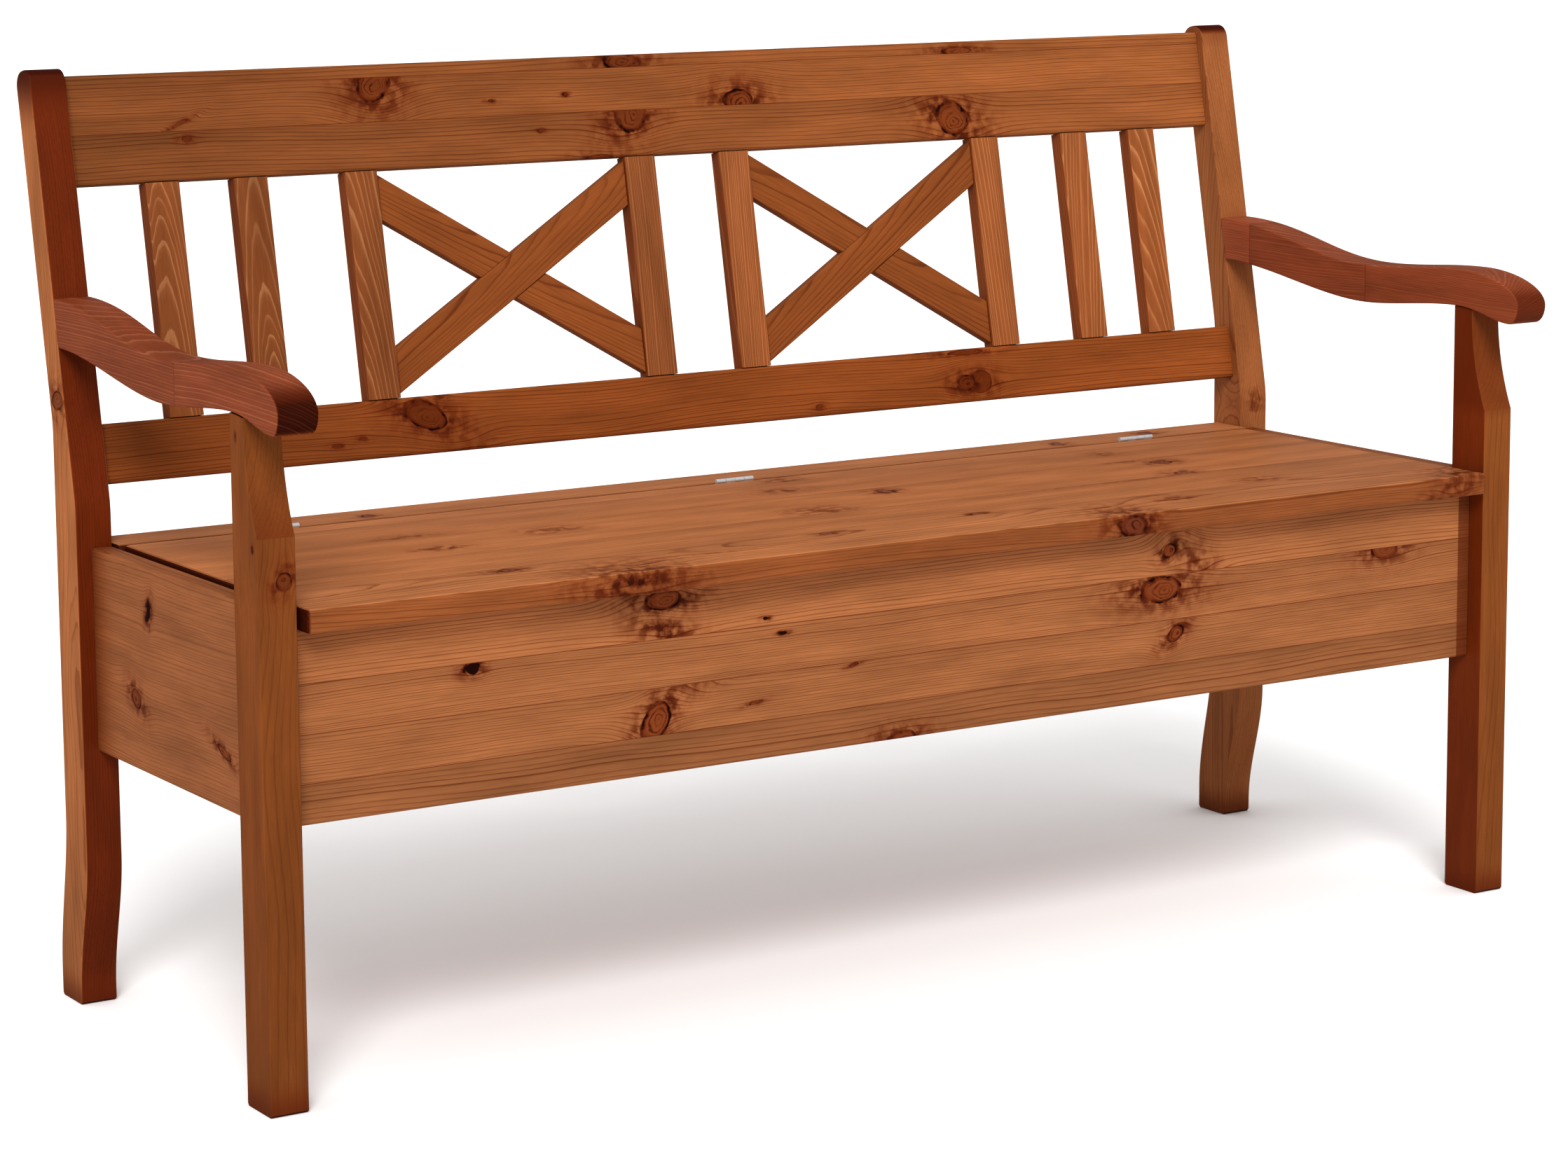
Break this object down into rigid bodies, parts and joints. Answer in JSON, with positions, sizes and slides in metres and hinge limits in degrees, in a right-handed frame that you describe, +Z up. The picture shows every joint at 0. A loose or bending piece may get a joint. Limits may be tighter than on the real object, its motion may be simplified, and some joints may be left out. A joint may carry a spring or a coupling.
{
  "type": "settle bench",
  "caption": "Settle bench of stained pine: a storage box under a hinged seat, scrolled armrests, sabre-shaped back posts and a slatted back with crossed braces.",
  "frame": {"origin": "on the floor, under the middle of the bench's box", "axes": "+X along the bench to the sitter's left, which is the right of the front view; +Y to the back; +Z up"},
  "size_m": [1.45, 0.5698, 0.908],
  "materials": {
    "pine_dark": "dark reddish brown stain, satin",
    "pine_middle": "reddish brown stain, satin",
    "pine_light": "lighter reddish brown stain, satin",
    "zinc": "bright zinc plate"
  },
  "bodies": {
    "bench_frame": {"back_slat_1": "pine_middle", "back_slat_2": "pine_middle", "back_slat_3": "pine_middle", "back_slat_4": "pine_middle", "back_slat_5": "pine_middle", "back_slat_6": "pine_middle", "back_slat_7": "pine_middle", "back_slat_8": "pine_middle", "box_back_panel": "pine_light", "box_bottom_panel": "pine_middle", "box_front_batten": "pine_middle", "box_front_panel": "pine_light", "box_left_batten": "pine_middle", "box_left_side_panel": "pine_light", "box_rear_batten": "pine_middle", "box_right_batten": "pine_middle", "box_right_side_panel": "pine_light", "left_arm_front_dowel": "pine_light", "left_arm_rear_dowel": "pine_light", "left_armrest": "pine_light", "left_back_post": "pine_dark", "left_falling_brace": "pine_middle", "left_front_leg": "pine_middle", "left_hinge_fixed_leaf": "zinc", "left_hinge_pin": "zinc", "left_rising_brace": "pine_middle", "lower_back_rail": "pine_middle", "middle_hinge_fixed_leaf": "zinc", "middle_hinge_pin": "zinc", "right_arm_front_dowel": "pine_light", "right_arm_rear_dowel": "pine_light", "right_armrest": "pine_light", "right_back_post": "pine_dark", "right_falling_brace": "pine_middle", "right_front_leg": "pine_middle", "right_hinge_fixed_leaf": "zinc", "right_hinge_pin": "zinc", "right_rising_brace": "pine_middle", "seat_back_strip": "pine_light", "top_back_rail": "pine_light"},
    "lid": {"seat_lid": "pine_light", "lid_batten_1": "pine_middle", "lid_batten_2": "pine_middle", "lid_batten_3": "pine_middle", "left_hinge_moving_leaf": "zinc", "middle_hinge_moving_leaf": "zinc", "right_hinge_moving_leaf": "zinc"}
  },
  "joints": [
    {"name": "lid_hinge", "type": "hinge", "parent": "bench_frame", "child": "lid", "pos_m": [0, 0.15924, 0.4594], "axis": [-1, 0, 0], "range_deg": [0, 103]}
  ]
}
